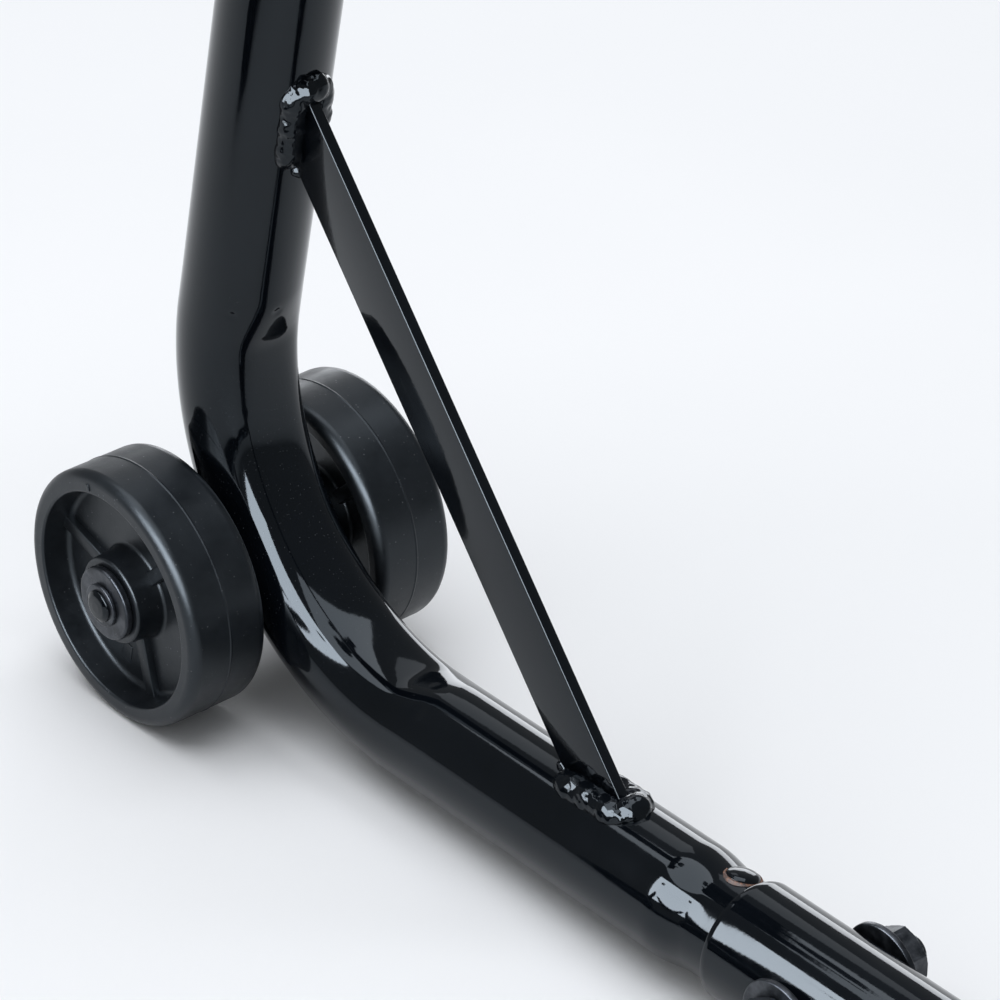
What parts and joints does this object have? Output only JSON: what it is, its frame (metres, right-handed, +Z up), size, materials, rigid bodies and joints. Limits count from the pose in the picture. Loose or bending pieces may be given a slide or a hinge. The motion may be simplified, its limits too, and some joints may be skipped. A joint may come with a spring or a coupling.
{
  "type": "motorcycle paddock stand",
  "caption": "Rear paddock stand of bent round tube: U-shaped handle, two braced arms on twin wheels, and sliding padded paddles that lift a motorcycle by its swingarm.",
  "frame": {"origin": "on the floor under the middle of the overall box, between the two arms", "axes": "+X to the right seen from the handle, +Y from the handle towards the wheels and arms, +Z up"},
  "size_m": [0.45, 0.5286, 0.3565],
  "materials": {
    "black_coat": "gloss",
    "wheel_plastic": "satin",
    "black_steel": "satin",
    "soft_rubber": "matte",
    "knob_plastic": "satin",
    "plug_plastic": "matte"
  },
  "bodies": {
    "frame": {"handle_bow": "black_coat", "arm_tube_r": "black_coat", "arm_brace_r": "black_coat", "axle_boss_r": "black_coat", "axle_rod_r": "black_coat", "inner_washers_r": "black_steel", "outer_washers_r": "black_steel", "axle_clips_r": "black_steel", "floor_sleeve_r": "soft_rubber", "joint_bolt_r": "black_steel", "joint_nut_r": "black_steel", "joint_washers_r": "black_steel", "bar_receiver_r": "black_coat", "clamp_nut_r": "black_coat", "arm_tube_l": "black_coat", "arm_brace_l": "black_coat", "axle_boss_l": "black_coat", "axle_rod_l": "black_coat", "inner_washers_l": "black_steel", "outer_washers_l": "black_steel", "axle_clips_l": "black_steel", "floor_sleeve_l": "soft_rubber", "joint_bolt_l": "black_steel", "joint_nut_l": "black_steel", "joint_washers_l": "black_steel", "bar_receiver_l": "black_coat", "clamp_nut_l": "black_coat"},
    "wheel_r_outer": {"wheel_r_outer": "wheel_plastic"},
    "wheel_r_inner": {"wheel_r_inner": "wheel_plastic"},
    "lift_bar_r": {"lift_bar_r": "black_coat", "bar_plugs_r": "plug_plastic", "paddle_r": "black_coat", "paddle_pad_r": "soft_rubber"},
    "clamp_stud_r": {"clamp_stud_r": "black_steel"},
    "clamp_knob_r": {"clamp_knob_r": "knob_plastic"},
    "wheel_l_outer": {"wheel_l_outer": "wheel_plastic"},
    "wheel_l_inner": {"wheel_l_inner": "wheel_plastic"},
    "lift_bar_l": {"lift_bar_l": "black_coat", "bar_plugs_l": "plug_plastic", "paddle_l": "black_coat", "paddle_pad_l": "soft_rubber"},
    "clamp_stud_l": {"clamp_stud_l": "black_steel"},
    "clamp_knob_l": {"clamp_knob_l": "knob_plastic"}
  },
  "joints": [
    {"name": "wheel_r_outer_spin", "type": "hinge", "parent": "frame", "child": "wheel_r_outer", "pos_m": [0.2047, 0.22375, 0.0405], "axis": [1, 0, 0], "continuous": true},
    {"name": "wheel_r_inner_spin", "type": "hinge", "parent": "frame", "child": "wheel_r_inner", "pos_m": [0.1353, 0.22375, 0.0405], "axis": [1, 0, 0], "continuous": true},
    {"name": "lift_bar_r_width", "type": "slide", "parent": "frame", "child": "lift_bar_r", "axis": [-1, 0, 0], "range_m": [0, 0.02]},
    {"name": "clamp_r_travel", "type": "slide", "parent": "frame", "child": "clamp_stud_r", "axis": [0, -1, 0], "range_m": [0, 0.0025]},
    {"name": "clamp_r_turn", "type": "hinge", "parent": "clamp_stud_r", "child": "clamp_knob_r", "pos_m": [0.17, 0.18428, 0.3], "axis": [0, -1, 0], "range_deg": [0, 720]},
    {"name": "wheel_l_outer_spin", "type": "hinge", "parent": "frame", "child": "wheel_l_outer", "pos_m": [-0.2047, 0.22375, 0.0405], "axis": [1, 0, 0], "continuous": true},
    {"name": "wheel_l_inner_spin", "type": "hinge", "parent": "frame", "child": "wheel_l_inner", "pos_m": [-0.1353, 0.22375, 0.0405], "axis": [1, 0, 0], "continuous": true},
    {"name": "lift_bar_l_width", "type": "slide", "parent": "frame", "child": "lift_bar_l", "axis": [1, 0, 0], "range_m": [0, 0.02]},
    {"name": "clamp_l_travel", "type": "slide", "parent": "frame", "child": "clamp_stud_l", "axis": [0, -1, 0], "range_m": [0, 0.0025]},
    {"name": "clamp_l_turn", "type": "hinge", "parent": "clamp_stud_l", "child": "clamp_knob_l", "pos_m": [-0.17, 0.18428, 0.3], "axis": [0, -1, 0], "range_deg": [0, 720]}
  ],
  "couplings": [
    {"joint": "clamp_r_travel", "follows": "clamp_r_turn", "m_per_rad": 0.00019894},
    {"joint": "clamp_l_travel", "follows": "clamp_l_turn", "m_per_rad": 0.00019894}
  ]
}
